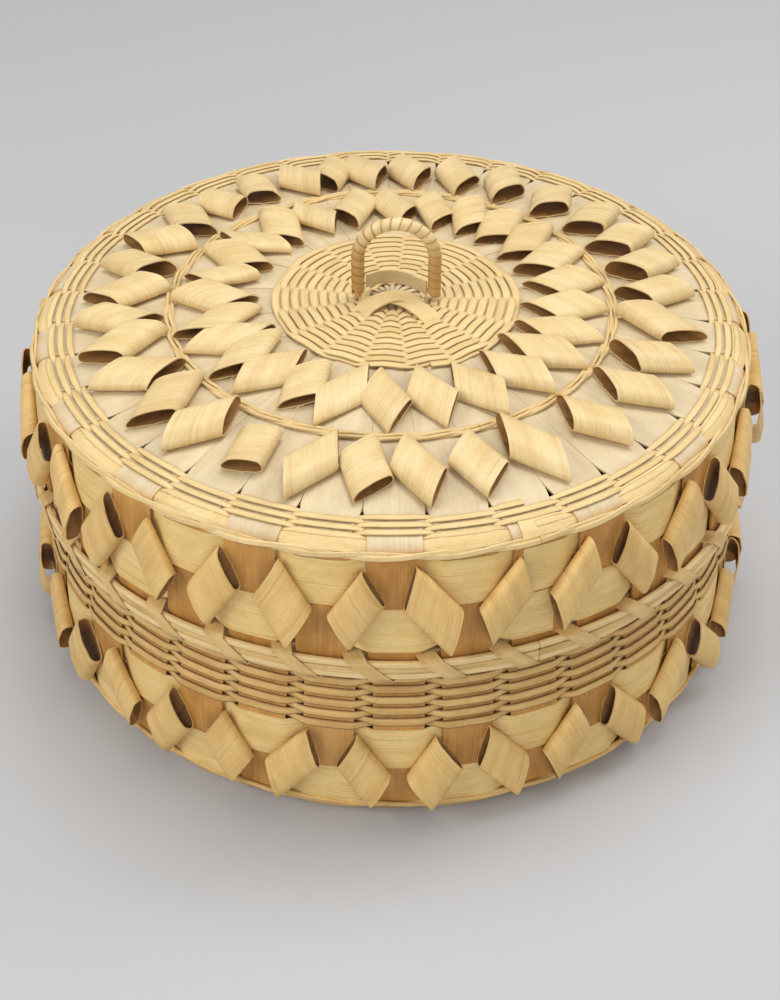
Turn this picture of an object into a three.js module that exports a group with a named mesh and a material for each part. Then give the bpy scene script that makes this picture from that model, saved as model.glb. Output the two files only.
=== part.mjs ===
// Round lidded basket of black ash splints, with curled overlay splints, in millimetres, +Z up.
// The origin is the middle of the face that it stands on. The front is towards -Y.
import * as THREE from 'three';

// Splints, weavers and counts
const splintCount = 35;
const lidOuterCurlCount = 32;
const lidInnerCurlCount = 26;
const splintThickness = 0.9;
const weaverThickness = 0.7;
const curlThickness = 0.5;
const fineWeaveThickness = 1.5;
const layerGap = 0.3;
const uprightGap = 7.2;
const wallWeaverWidth = 19.8;

// Splints at the centre of the floor and the lid
const hubRadius = 9;
const hubSplintWidth = 3.4;
const armGap = 3.95;
const slitLength = 3;
const spokeSideGap = 2.2;
const weaveEyeRadius = 6;
const roundRingSides = 24;

// Basket: radii are those of the middle of its splints, and each step in follows the one below
const baseFootRadius = 143.6;
const baseCornerRun = 4;
const baseCornerRise = 3.6;
const baseWallFootZ = 6.6;
const baseWallSlack = 1.2;
const baseWallStepIn = 1.4;
const fineWeaveHeight = 26.3;
const fineWeaveStepIn = 6.8;
const baseRimRise = 24;
const baseRimStepIn = 2.2;
const baseRimWidth = 7;
const baseHoopThickness = 1.8;
const footWeaverWidth = 3.4;
const footWeaverHeight = 2.4;
const floorEdgeGap = 8.3;

// Lid: radii are those of the middle of its splints, from its rim, which hangs over the basket's fine weave
const lidOverhang = 0.4;
const lidSeatRise = 2;
const lidRimWidth = 8;
const lidHoopThickness = 2.6;
const lidWallGap = 1.4;
const lidWallSlack = 2;
const lidWallStepIn = 3.2;
const lidBendStepIn = 2.8;
const lidBendRise = 3;
const shoulderWeaveWidth = 13.2;
const shoulderWeaveRise = 1.4;
const outerRingWidth = 36.6;
const outerRingRise = 4.4;
const innerRingWidth = 36.8;
const innerRingRise = 3.2;
const lidCrownRise = 1;
const lashingThickness = 0.5;
const lashingWidth = 5;
const twineWidth = 1.5;
const twineThickness = 1.4;

// Handle
const handleCentreX = 2;
const handleCentreY = -4;
const handleHalfWidth = 14.8;
const handleLegHeight = 17;
const handleCoreThickness = 3.2;
const handleCoreSteps = 16;
const handleCoreSides = 8;
const handleWrapWidth = 2.9;
const handleWrapThickness = 0.5;
const handleWrapCount = 22;
const handleWrapSteps = 5;
const handleStrapWidth = 6;
const handleStrapBow = 3;
const crossSplintWidth = 6.4;
const crossSplintReach = 17;
const crossSplintOffset = 6;

// Curls: the splint that makes them is narrower than its row. On each kind, the height of the loop, the
// space between loops at their sides, and how far the top corner leans and the side corner drops
const curlInset = 0.5;
const ringMargin = 2.2;
const wallCurl = { height: 8.6, flankHeight: 6, sideGap: 3.3, topLean: 2.3, sideDrop: 1.4 };
const outerRingCurl = { height: 8.6, flankHeight: 5, sideGap: 1.3, topLean: 1.2, sideDrop: 1.4 };
const innerRingCurl = { height: 8.2, flankHeight: 5, sideGap: 0.7, topLean: 1, sideDrop: 2, stepOut: 1.1 };
const crownShare = 0.22;

// Where the overlaid ends of each wall's weavers meet, and where each ring of curls starts, in degrees
const lidJoinAngle = -68.7;
const baseJoinAngle = 86.3;
const lidOuterRingAngle = -84;
const lidInnerRingAngle = -103;

// Colours
const creamAsh = 0xd9c08a;
const paleAsh = 0xe0cfae;
const brownAsh = 0xb98d55;
const tanAsh = 0xc9a869;

const pitch = (2 * Math.PI) / splintCount;
const uprightWidth = baseFootRadius * pitch - uprightGap;
const radians = THREE.MathUtils.degToRad;
const group = new THREE.Group();

function addPiece(name, geometry, color) {
  const material = new THREE.MeshStandardMaterial({ color, roughness: 0.62, metalness: 0 });
  const mesh = new THREE.Mesh(geometry, material);
  mesh.name = name;
  group.add(mesh);
  return mesh;
}

// A point at a radius, a height and an angle
function polar(radius, z, angle) {
  return new THREE.Vector3(radius * Math.cos(angle), radius * Math.sin(angle), z);
}

// A thin surface given a thickness: faces are lists of point numbers, and open edges get side walls
function slab(points, faces, thickness) {
  const triangles = [];
  for (const face of faces) {
    for (let i = 2; i < face.length; i++) {
      triangles.push([face[0], face[i - 1], face[i]]);
    }
  }
  const normals = points.map(() => new THREE.Vector3());
  const edges = new Set();
  for (const [a, b, c] of triangles) {
    const normal = new THREE.Vector3().subVectors(points[b], points[a]);
    normal.cross(new THREE.Vector3().subVectors(points[c], points[a]));
    for (const corner of [a, b, c]) {
      normals[corner].add(normal);
    }
    edges.add(`${a} ${b}`).add(`${b} ${c}`).add(`${c} ${a}`);
  }
  const outer = points.map((p, i) => p.clone().addScaledVector(normals[i].normalize(), thickness / 2));
  const inner = points.map((p, i) => p.clone().addScaledVector(normals[i], -thickness / 2));
  const count = points.length;
  const index = [];
  for (const [a, b, c] of triangles) {
    index.push(a, b, c, c + count, b + count, a + count);
  }
  for (const edge of edges) {
    const [a, b] = edge.split(' ').map(Number);
    if (!edges.has(`${b} ${a}`)) {
      index.push(b, a, a + count, b, a + count, b + count);
    }
  }
  const geometry = new THREE.BufferGeometry().setFromPoints([...outer, ...inner]);
  geometry.setIndex(index);
  geometry.computeVertexNormals();
  return geometry;
}

// An open ribbon through pairs of edge points
function ribbon(sections, thickness) {
  const points = sections.flat();
  const faces = [];
  for (let i = 0; i + 1 < sections.length; i++) {
    faces.push([2 * i, 2 * i + 2, 2 * i + 3, 2 * i + 1]);
  }
  return slab(points, faces, thickness);
}

// A ring turned about the basket's axis, with its corners between the splints that start at an angle.
// The radii are those of its flats, which lie on the splints.
function ring(profile, startAngle, segments = splintCount) {
  const reach = 1 / Math.cos(Math.PI / segments);
  const outline = [...profile, profile[0]].map(([radius, z]) => new THREE.Vector2(radius * reach, z));
  const geometry = new THREE.LatheGeometry(outline, segments);
  geometry.rotateX(Math.PI / 2);
  geometry.rotateZ(startAngle + pitch / 2 + Math.PI / 2);
  return geometry;
}

// A square-edged ring between two radii and two heights
function plainRing(innerRadius, outerRadius, bottomZ, topZ, startAngle, segments = splintCount) {
  const profile = [[innerRadius, bottomZ], [outerRadius, bottomZ], [outerRadius, topZ], [innerRadius, topZ]];
  return ring(profile, startAngle, segments);
}

// A conical stretch of the basket between two circles: points go along it and out from it
function stretch(low, high) {
  const run = Math.hypot(high.radius - low.radius, high.z - low.z);
  const along = { radius: (high.radius - low.radius) / run, z: (high.z - low.z) / run };
  const middle = { radius: (low.radius + high.radius) / 2, z: (low.z + high.z) / 2 };
  const radiusAt = (z) => low.radius + ((z - low.z) * (high.radius - low.radius)) / (high.z - low.z);
  const point = (angle, sideways, up, out) => {
    const radius = middle.radius + along.radius * up + along.z * out;
    const z = middle.z + along.z * up - along.radius * out;
    return polar(radius, z, angle + sideways / (middle.radius + along.radius * up));
  };
  return { run, middle, radiusAt, point };
}

const curlBehind = -(splintThickness / 2 + layerGap + curlThickness / 2);
const weaverUnder = curlBehind - curlThickness / 2 - layerGap - weaverThickness / 2;
const weaverOver = splintThickness / 2 + layerGap + weaverThickness / 2;
const passInset = layerGap + curlThickness / 2 + weaverThickness / 4;

// A broad weaver once round a wall, from the joint splint to the joint splint again, where its ends overlap
function wallWeaver(wall, joinAngle, row, startsOver) {
  const sections = [];
  const halfWidth = uprightWidth / 2 + passInset;
  for (let i = 0; i <= splintCount; i++) {
    const angle = joinAngle - i * pitch;
    const over = (i % 2 === 0) === startsOver;
    const out = over ? weaverOver : weaverUnder;
    const sides = [halfWidth, -halfWidth];
    if (i === 0) {
      sides[0] = over ? uprightWidth / 4 : uprightWidth / 2;
    }
    if (i === splintCount) {
      sides[1] = over ? -uprightWidth / 4 : -uprightWidth / 2;
    }
    for (const side of sides) {
      const low = wall.point(angle, side, row - wallWeaverWidth / 2, out);
      const high = wall.point(angle, side, row + wallWeaverWidth / 2, out);
      sections.push([low, high]);
    }
  }
  return ribbon(sections, weaverThickness);
}

// One overlay splint round a stretch. Behind each splint it lies flat. In a gap it comes out, turns one
// full loop about a slanted axis and goes back in one row lower or higher, so that the loops zigzag.
// A loop that stands beside its gap steps out over the next splint first.
function curlRibbon(band, shape, rowWidth, gaps, halfGap) {
  const sections = [];
  const row = (rowWidth + layerGap) / 2;
  const width = rowWidth - 2 * curlInset;
  const topCorner = [shape.topLean, rowWidth - layerGap];
  const sideCorner = [(band.middle.radius * Math.PI) / gaps.length - shape.sideGap, shape.sideDrop];
  const put = (angle, low, high, lean) => {
    const ends = [low, high].map(([side, up, out]) => band.point(angle, side, up * lean, out));
    sections.push(lean > 0 ? ends : ends.reverse());
  };
  const pass = Math.max(halfGap - passInset, curlThickness);
  const rowLow = row - width / 2;
  const rowHigh = row + width / 2;
  const mix = (from, to, share) => from + (to - from) * share;
  const first = gaps[0];
  const last = gaps[gaps.length - 1];
  const tuck = uprightWidth / 3;
  put(first.gapAngle, [tuck, rowLow, curlBehind], [tuck, rowHigh, curlBehind], first.lean);
  for (const { gapAngle, loopAngle, lean } of gaps) {
    const shift = (loopAngle - gapAngle) * band.middle.radius;
    const topLimit = shape.stepOut ? Infinity : pass;
    const topSide = Math.min(shift + topCorner[0], topLimit);
    const footSide = Math.max(shift - topCorner[0], -topLimit);
    put(gapAngle, [pass, rowLow, curlBehind], [pass, rowHigh, curlBehind], lean);
    if (shape.stepOut) {
      put(gapAngle, [-pass, rowLow, shape.stepOut], [-pass, rowHigh, shape.stepOut], lean);
    }
    const left = {
      high: [topSide, topCorner[1]],
      low: [shift - sideCorner[0], -sideCorner[1]],
    };
    const right = {
      high: [shift + sideCorner[0], sideCorner[1]],
      low: [footSide, -topCorner[1]],
    };
    const crown = [
      [0, shape.flankHeight],
      [crownShare, shape.height],
      [1 - crownShare, shape.height],
      [1, shape.flankHeight],
    ];
    for (const [share, out] of crown) {
      const low = [mix(left.low[0], right.low[0], share), mix(left.low[1], right.low[1], share), out];
      const high = [mix(left.high[0], right.high[0], share), mix(left.high[1], right.high[1], share), out];
      put(gapAngle, low, high, lean);
    }
    if (shape.stepOut) {
      put(gapAngle, [pass, -rowHigh, shape.stepOut], [pass, -rowLow, shape.stepOut], lean);
    }
    put(gapAngle, [-pass, -rowHigh, curlBehind], [-pass, -rowLow, curlBehind], lean);
  }
  put(last.gapAngle, [-tuck, -rowHigh, curlBehind], [-tuck, -rowLow, curlBehind], last.lean);
  return ribbon(sections, curlThickness);
}

// The gaps that a wall's overlay splint comes out of: one loop in each, leaning by turns
function wallGaps(joinAngle) {
  return Array.from({ length: splintCount }, (_, i) => {
    const gapAngle = joinAngle - (i + 0.5) * pitch;
    return { gapAngle, loopAngle: gapAngle, lean: i % 2 === 0 ? 1 : -1 };
  });
}

// The gaps that a ring on the lid uses: its loops are evenly spaced, each out of the gap nearest to it.
// Loops that stand square on their gaps take that gap's angle instead.
function ringGaps(joinAngle, startAngle, count, square) {
  return Array.from({ length: count }, (_, i) => {
    const evenAngle = startAngle - (i * 2 * Math.PI) / count;
    const gap = Math.round((joinAngle - evenAngle) / pitch - 0.5);
    const gapAngle = joinAngle - (gap + 0.5) * pitch;
    return { gapAngle, loopAngle: square ? gapAngle : evenAngle, lean: i % 2 === 0 ? 1 : -1 };
  });
}

// Half of the splints of the lid or the base: narrow splints cross in a hub, widen, and are slit in two
// where the centre's weave ends, so that each gives two uprights. The last splint stays whole.
function splintStar(stations, joinAngle, first, lift) {
  const points = [];
  const faces = [];
  const addPoint = (station, angle, side) => {
    points.push(polar(station.radius, station.z + station.lift * lift, angle + side / station.radius));
    return points.length - 1;
  };
  const [hub, ...arms] = stations;
  const slitIndex = arms.findIndex((station) => station.slit);
  points.push(new THREE.Vector3(0, 0, hub.z + hub.lift * lift));
  const hubEdge = [];
  const armCount = Math.ceil(splintCount / 2);
  for (let arm = first; arm < armCount; arm += 2) {
    const whole = 2 * arm + 1 === splintCount;
    const angle = joinAngle - (whole ? 2 * arm : 2 * arm + 0.5) * pitch;
    let left = addPoint(hub, angle, -hub.width / 2);
    let right = addPoint(hub, angle, hub.width / 2);
    hubEdge.push([left, right]);
    for (const station of arms.slice(0, slitIndex)) {
      const nextLeft = addPoint(station, angle, -station.width / 2);
      const nextRight = addPoint(station, angle, station.width / 2);
      faces.push([left, nextLeft, nextRight, right]);
      [left, right] = [nextLeft, nextRight];
    }
    const slit = arms[slitIndex];
    const middle = whole ? null : addPoint(slit, angle, 0);
    const slitLeft = addPoint(slit, angle, -slit.width / (whole ? 4 : 2));
    const slitRight = addPoint(slit, angle, slit.width / (whole ? 4 : 2));
    faces.push(whole ? [left, slitLeft, slitRight, right] : [left, slitLeft, middle, slitRight, right]);
    const branches = whole
      ? [{ edges: [slitLeft, slitRight], angle }]
      : [
        { edges: [slitLeft, middle], angle: angle - pitch / 2 },
        { edges: [middle, slitRight], angle: angle + pitch / 2 },
      ];
    for (const branch of branches) {
      let [from, to] = branch.edges;
      for (const station of arms.slice(slitIndex + 1)) {
        const nextFrom = addPoint(station, branch.angle, -station.width / 2);
        const nextTo = addPoint(station, branch.angle, station.width / 2);
        faces.push([from, nextFrom, nextTo, to]);
        [from, to] = [nextFrom, nextTo];
      }
    }
  }
  hubEdge.forEach(([left, right], i) => {
    const [, nextRight] = hubEdge[(i + 1) % hubEdge.length];
    faces.push([0, left, right]);
    faces.push([0, nextRight, left]);
  });
  return slab(points, faces, splintThickness);
}

// Circles of the basket and the lid, through the middle of their splints
const floorZ = splintThickness + layerGap / 2;
const baseCorner = { radius: baseFootRadius - baseCornerRun, z: floorZ };
const baseFoot = { radius: baseFootRadius, z: floorZ + baseCornerRise };
const baseShoulder = {
  radius: baseFootRadius - baseWallStepIn,
  z: baseWallFootZ + 2 * wallWeaverWidth + baseWallSlack + layerGap,
};
const fineWeaveTop = { radius: baseShoulder.radius - fineWeaveStepIn, z: baseShoulder.z + fineWeaveHeight };
const baseRimTop = { radius: fineWeaveTop.radius - baseRimStepIn, z: fineWeaveTop.z + baseRimRise };
const lidRimBottom = { radius: baseShoulder.radius + lidOverhang, z: fineWeaveTop.z + lidSeatRise };
const lidWallBottomZ = lidRimBottom.z + lidRimWidth + lidWallGap;
const lidWallTop = {
  radius: lidRimBottom.radius - lidWallStepIn,
  z: lidWallBottomZ + 2 * wallWeaverWidth + lidWallSlack,
};
const lidBend = { radius: lidWallTop.radius - lidBendStepIn, z: lidWallTop.z + lidBendRise };
const shoulderInner = { radius: lidBend.radius - shoulderWeaveWidth, z: lidBend.z + shoulderWeaveRise };
const divider = { radius: shoulderInner.radius - outerRingWidth, z: shoulderInner.z + outerRingRise };
const lidCentreEdge = { radius: divider.radius - innerRingWidth, z: divider.z + innerRingRise };
const lidTopZ = lidCentreEdge.z + lidCrownRise;

// The width of a spoke at a radius, with the gap that is left beside it
const spokeWidth = (radius) => radius * pitch - 2 * spokeSideGap;
const centreWeaveRadius = lidCentreEdge.radius;
const slitSplintWidth = 2 * pitch * centreWeaveRadius - armGap;
const slitEndRadius = centreWeaveRadius + slitLength;
const hubLift = (splintThickness + layerGap) / 2;
const twineOut = splintThickness / 2 + layerGap;
const skinOut = splintThickness / 2 + layerGap;
const uprightSag = uprightWidth ** 2 / (8 * lidRimBottom.radius);
const skinIn = skinOut + uprightSag;

// A band that follows a path of the splints, outside or inside them, all the way round
function skin(path, out, thickness, startAngle, segments = splintCount) {
  const sides = path.map((point, i) => {
    const before = path[Math.max(i - 1, 0)];
    const after = path[Math.min(i + 1, path.length - 1)];
    const run = Math.hypot(after.radius - before.radius, after.z - before.z);
    const normal = [(after.z - before.z) / run, -(after.radius - before.radius) / run];
    return [out, out + thickness].map((offset) => (
      [point.radius + normal[0] * offset, point.z + normal[1] * offset]
    ));
  });
  const near = sides.map(([inside]) => inside).reverse();
  const far = sides.map(([, outside]) => outside);
  return ring([...far, ...near], startAngle, segments);
}

// A flat splint wound round a rim bundle, one turn to each upright or to each pair: it slants over the
// outside and the inside, and crosses past the uprights' ends and, on the other side, in the gaps
function rimLashing(box, startAngle, turnSpan) {
  const cornerRadius = box.outerRadius / Math.cos(pitch / 2);
  const corners = [
    { radius: cornerRadius, z: box.gapZ, turnShare: 0 },
    { radius: cornerRadius, z: box.endZ, turnShare: 0.5 },
    { radius: box.innerRadius, z: box.endZ, turnShare: 0.5 },
    { radius: box.innerRadius, z: box.gapZ, turnShare: 1 },
  ];
  const turns = Math.floor(splintCount / turnSpan);
  const halfAngle = lashingWidth / 2 / box.outerRadius;
  const sections = [];
  for (let turn = 0; turn < turns; turn++) {
    for (const { radius, z, turnShare } of corners) {
      const angle = startAngle + (turn + turnShare) * turnSpan * pitch;
      const ends = [polar(radius, z, angle - halfAngle), polar(radius, z, angle + halfAngle)];
      sections.push(box.endZ > box.gapZ ? ends : ends.reverse());
    }
  }
  return ribbon(sections, lashingThickness);
}

// The hoops of a rim inside and outside its uprights, which may lean, and the splint that lashes them
function addRim(prefix, wall, rim, joinAngle) {
  const bottomZ = Math.min(rim.gapZ, rim.endZ);
  const topZ = Math.max(rim.gapZ, rim.endZ);
  const radii = [wall.radiusAt(bottomZ), wall.radiusAt(topZ)];
  const innerHoop = Math.min(...radii) - skinIn - rim.hoopThickness;
  const outerHoop = Math.max(...radii) + skinOut;
  const hoops = { outer: outerHoop, inner: innerHoop };
  for (const [side, radius] of Object.entries(hoops)) {
    const hoop = plainRing(radius, radius + rim.hoopThickness, bottomZ, topZ, joinAngle);
    addPiece(`${prefix}_rim_hoop_${side}`, hoop, creamAsh);
  }
  const clear = layerGap + lashingThickness / 2;
  const outward = Math.sign(rim.endZ - rim.gapZ) * clear;
  const box = {
    innerRadius: innerHoop - clear,
    outerRadius: outerHoop + rim.hoopThickness + clear,
    gapZ: rim.gapZ - outward,
    endZ: rim.endZ + outward,
  };
  addPiece(`${prefix}_rim_lashing`, rimLashing(box, joinAngle + pitch / 2, rim.turnSpan), paleAsh);
}

// Basket: floor and uprights
const baseJoin = radians(baseJoinAngle);
const baseStations = [
  { radius: hubRadius, z: floorZ, lift: hubLift, width: hubSplintWidth },
  { radius: centreWeaveRadius, z: floorZ, lift: 0, width: slitSplintWidth, slit: true },
  { radius: slitEndRadius, z: floorZ, lift: 0, width: spokeWidth(slitEndRadius) },
  { ...baseCorner, lift: 0, width: uprightWidth },
  { ...baseFoot, lift: 0, width: uprightWidth },
  { ...baseShoulder, lift: 0, width: uprightWidth },
  { ...fineWeaveTop, lift: 0, width: uprightWidth - spokeSideGap },
  { ...baseRimTop, lift: 0, width: uprightWidth - spokeSideGap },
];
addPiece('base_splints_lower', splintStar(baseStations, baseJoin, 0, -1), paleAsh);
addPiece('base_splints_upper', splintStar(baseStations, baseJoin, 1, 1), paleAsh);

// Basket: the fine weave and the broad weavers of the floor, inside the splints
const floorPoint = (radius) => ({ radius, z: floorZ });
const centreOut = skinOut + hubLift;
const floorInside = -(skinOut + fineWeaveThickness);
const floorWeave = [floorPoint(weaveEyeRadius), floorPoint(centreWeaveRadius)];
addPiece(
  'base_floor_weave',
  skin(floorWeave, floorInside - hubLift, fineWeaveThickness, baseJoin, roundRingSides),
  creamAsh,
);
const floorEdge = baseCorner.radius - floorEdgeGap;
const floorWeaverWidth = (floorEdge - slitEndRadius - layerGap) / 2;
const innerFloorEdge = slitEndRadius + floorWeaverWidth;
const floorWeaverPaths = {
  base_floor_weaver_inner: [floorPoint(slitEndRadius), floorPoint(innerFloorEdge)],
  base_floor_weaver_outer: [floorPoint(innerFloorEdge + layerGap), floorPoint(floorEdge)],
};
for (const [name, path] of Object.entries(floorWeaverPaths)) {
  const floorWeaver = skin(path, -(skinOut + weaverThickness), weaverThickness, baseJoin, roundRingSides);
  addPiece(name, floorWeaver, tanAsh);
}

// Basket: wall with two broad weavers, the overlay splint with its curls, and the thin weaver at the foot
const baseWall = stretch({ radius: baseFootRadius, z: baseWallFootZ }, baseShoulder);
const wallHalfGap = (wall) => (wall.middle.radius * pitch - uprightWidth) / 2;
const rowOffset = (wallWeaverWidth + layerGap) / 2;
addPiece('base_wall_weaver_lower', wallWeaver(baseWall, baseJoin, -rowOffset, true), creamAsh);
addPiece('base_wall_weaver_upper', wallWeaver(baseWall, baseJoin, rowOffset, false), creamAsh);
function wallCurls(wall, joinAngle) {
  return curlRibbon(wall, wallCurl, wallWeaverWidth, wallGaps(joinAngle), wallHalfGap(wall));
}
addPiece('base_wall_curls', wallCurls(baseWall, baseJoin), tanAsh);
const cornerRunShare = baseCornerRun / baseCornerRise;
const cornerSpread = Math.hypot(1, cornerRunShare);
const footInner = baseCorner.radius + (footWeaverHeight - floorZ) * cornerRunShare + skinOut * cornerSpread;
addPiece(
  'base_foot_weaver',
  plainRing(footInner, footInner + footWeaverWidth, 0, footWeaverHeight, baseJoin),
  creamAsh,
);

// Basket: fine weave over the shoulder, outside and inside the uprights
const fineWeavePath = [baseShoulder, fineWeaveTop];
addPiece('base_fine_weave_outer', skin(fineWeavePath, skinOut, fineWeaveThickness, baseJoin), creamAsh);
addPiece(
  'base_fine_weave_inner',
  skin(fineWeavePath, -(skinIn + fineWeaveThickness), fineWeaveThickness, baseJoin),
  creamAsh,
);

// Basket: rim, above the fine weave
const baseRimEndZ = baseRimTop.z + layerGap;
const baseRim = {
  gapZ: baseRimEndZ - baseRimWidth,
  endZ: baseRimEndZ,
  hoopThickness: baseHoopThickness,
  turnSpan: 2,
};
addRim('base', stretch(fineWeaveTop, baseRimTop), baseRim, baseJoin);

// Lid: crossing splints from the centre to the rim
const lidJoin = radians(lidJoinAngle);
const innerRing = stretch(divider, lidCentreEdge);
const slitEndZ = divider.z + (innerRingRise * (divider.radius - slitEndRadius)) / innerRingWidth;
const lidStations = [
  { radius: hubRadius, z: lidTopZ, lift: hubLift, width: hubSplintWidth },
  { ...lidCentreEdge, lift: 0, width: slitSplintWidth, slit: true },
  { radius: slitEndRadius, z: slitEndZ, lift: 0, width: spokeWidth(slitEndRadius) },
  { ...divider, lift: 0, width: spokeWidth(divider.radius) },
  { ...shoulderInner, lift: 0, width: uprightWidth },
  { ...lidBend, lift: 0, width: uprightWidth },
  { ...lidWallTop, lift: 0, width: uprightWidth },
  { ...lidRimBottom, lift: 0, width: uprightWidth },
];
addPiece('lid_splints_lower', splintStar(lidStations, lidJoin, 0, -1), paleAsh);
addPiece('lid_splints_upper', splintStar(lidStations, lidJoin, 1, 1), paleAsh);

// Lid: fine weave over its centre and over its shoulder, and the broad weaver under its rings of curls
const lidCentrePath = [
  { radius: centreWeaveRadius, z: lidTopZ },
  { radius: weaveEyeRadius, z: lidTopZ },
];
const centreWeave = skin(lidCentrePath, centreOut, fineWeaveThickness, lidJoin, roundRingSides);
addPiece('lid_centre_weave', centreWeave, creamAsh);
const shoulderPath = [lidWallTop, lidBend, shoulderInner];
addPiece('lid_shoulder_weave', skin(shoulderPath, skinOut, fineWeaveThickness, lidJoin), creamAsh);
const backing = [shoulderInner, { radius: slitEndRadius, z: lidCentreEdge.z }];
const backingOut = weaverUnder - weaverThickness / 2;
addPiece('lid_top_weaver', skin(backing, backingOut - uprightSag, weaverThickness, lidJoin), tanAsh);

// Lid: two twined strands between the rings of curls
const twinePath = (radius) => [{ radius: radius + twineWidth, z: divider.z }, { radius, z: divider.z }];
const twineInner = divider.radius - twineWidth - layerGap / 2;
const twineOuter = divider.radius + layerGap / 2;
addPiece('lid_divider_twine_inner', skin(twinePath(twineInner), twineOut, twineThickness, lidJoin), creamAsh);
addPiece('lid_divider_twine_outer', skin(twinePath(twineOuter), twineOut, twineThickness, lidJoin), creamAsh);

// Lid: two rings of curls on the top
const outerRing = stretch(shoulderInner, divider);
const outerGaps = ringGaps(lidJoin, radians(lidOuterRingAngle), lidOuterCurlCount, true);
const innerGaps = ringGaps(lidJoin, radians(lidInnerRingAngle), lidInnerCurlCount, false);
function ringCurls(band, shape, gaps) {
  return curlRibbon(band, shape, band.run / 2 - ringMargin, gaps, spokeSideGap);
}
addPiece('lid_outer_ring_curls', ringCurls(outerRing, outerRingCurl, outerGaps), tanAsh);
addPiece('lid_inner_ring_curls', ringCurls(innerRing, innerRingCurl, innerGaps), tanAsh);

// Lid: wall with two broad weavers and its curls, and the rim
const lidSide = stretch(lidRimBottom, lidWallTop);
const lidWall = stretch({ radius: lidSide.radiusAt(lidWallBottomZ), z: lidWallBottomZ }, lidWallTop);
addPiece('lid_wall_weaver_lower', wallWeaver(lidWall, lidJoin, -rowOffset, true), creamAsh);
addPiece('lid_wall_weaver_upper', wallWeaver(lidWall, lidJoin, rowOffset, false), creamAsh);
addPiece('lid_wall_curls', wallCurls(lidWall, lidJoin), tanAsh);
const lidRimEndZ = lidRimBottom.z - layerGap;
const lidRim = {
  gapZ: lidRimEndZ + lidRimWidth,
  endZ: lidRimEndZ,
  hoopThickness: lidHoopThickness,
  turnSpan: 1,
};
addRim('lid', lidSide, lidRim, lidJoin);

// Handle: an arch that stands on the centre's weave, closely wound with a narrow splint
class Arch extends THREE.Curve {
  getPoint(share) {
    const length = 2 * handleLegHeight + Math.PI * handleHalfWidth;
    const along = share * length;
    const around = (along - handleLegHeight) / handleHalfWidth;
    if (around < 0) {
      return new THREE.Vector3(handleCentreX - handleHalfWidth, handleCentreY, handleFootZ + along);
    }
    if (around > Math.PI) {
      return new THREE.Vector3(handleCentreX + handleHalfWidth, handleCentreY, handleFootZ + length - along);
    }
    return new THREE.Vector3(
      handleCentreX - handleHalfWidth * Math.cos(around),
      handleCentreY,
      handleFootZ + handleLegHeight + handleHalfWidth * Math.sin(around),
    );
  }
}
const centreWeaveTopZ = lidTopZ + centreOut + fineWeaveThickness;
const handleFootZ = centreWeaveTopZ + layerGap;
const arch = new Arch();
const coreSection = new THREE.Shape();
coreSection.absarc(0, 0, handleCoreThickness / 2, 0, 2 * Math.PI);
const core = new THREE.ExtrudeGeometry(coreSection, {
  extrudePath: arch,
  steps: handleCoreSteps,
  curveSegments: handleCoreSides / 2,
});
addPiece('handle_core', core, tanAsh);

// Handle: the narrow splint that wraps it
function handleWrapping() {
  const length = arch.getLength();
  const halfShare = handleWrapWidth / 2 / length;
  const middle = handleCoreThickness / 2 + layerGap + handleWrapThickness / 2;
  const offset = middle / Math.cos(Math.PI / handleWrapSteps);
  const steps = handleWrapCount * handleWrapSteps;
  const depth = new THREE.Vector3(0, 1, 0);
  const sections = [];
  for (let i = 0; i <= steps; i++) {
    const share = halfShare + (i / steps) * (1 - 2 * halfShare);
    const turn = (i / handleWrapSteps) * 2 * Math.PI;
    const edge = (at) => {
      const tangent = arch.getTangent(at);
      const side = new THREE.Vector3().crossVectors(tangent, depth);
      return arch.getPoint(at).addScaledVector(side, offset * Math.cos(turn))
        .addScaledVector(depth, offset * Math.sin(turn));
    };
    sections.push([edge(share - halfShare), edge(share + halfShare)]);
  }
  let leastGap = Infinity;
  sections.slice(handleWrapSteps).forEach(([start], i) => {
    const [, end] = sections[i];
    leastGap = Math.min(leastGap, start.distanceTo(end));
  });
  console.log(`handle_wrapping: least gap between its turns ${leastGap.toFixed(2)} mm`);
  return ribbon(sections, handleWrapThickness);
}
addPiece('handle_wrapping', handleWrapping(), brownAsh);

// Handle: two flat splints that cross in front of its feet, and the strap that stands across behind them
function flatSplint(ends, width, thickness, z, rise) {
  const [from, to] = ends;
  const along = new THREE.Vector3().subVectors(to, from).normalize();
  const side = new THREE.Vector3(-along.y, along.x, 0).multiplyScalar(width / 2);
  const points = [from, new THREE.Vector3().addVectors(from, to).divideScalar(2), to];
  const sections = points.map((point, i) => {
    const middle = point.clone().setZ(z + (i === 1 ? rise : 0));
    return [middle.clone().sub(side), middle.clone().add(side)];
  });
  return ribbon(sections, thickness);
}
const crossZ = centreWeaveTopZ + layerGap + weaverThickness / 2;
const crossSplints = {
  handle_cross_splint_left: { side: -1, z: crossZ },
  handle_cross_splint_right: { side: 1, z: crossZ + layerGap + weaverThickness },
};
for (const [name, { side, z }] of Object.entries(crossSplints)) {
  const nearY = handleCentreY - crossSplintOffset - crossSplintWidth;
  const farY = handleCentreY + crossSplintOffset - crossSplintWidth;
  const near = new THREE.Vector3(handleCentreX + side * crossSplintReach, nearY, 0);
  const far = new THREE.Vector3(handleCentreX - side * crossSplintWidth, farY, 0);
  addPiece(name, flatSplint([near, far], crossSplintWidth, weaverThickness, z, 0), creamAsh);
}
const strapHalfLength = handleHalfWidth - handleCoreThickness;
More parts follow.
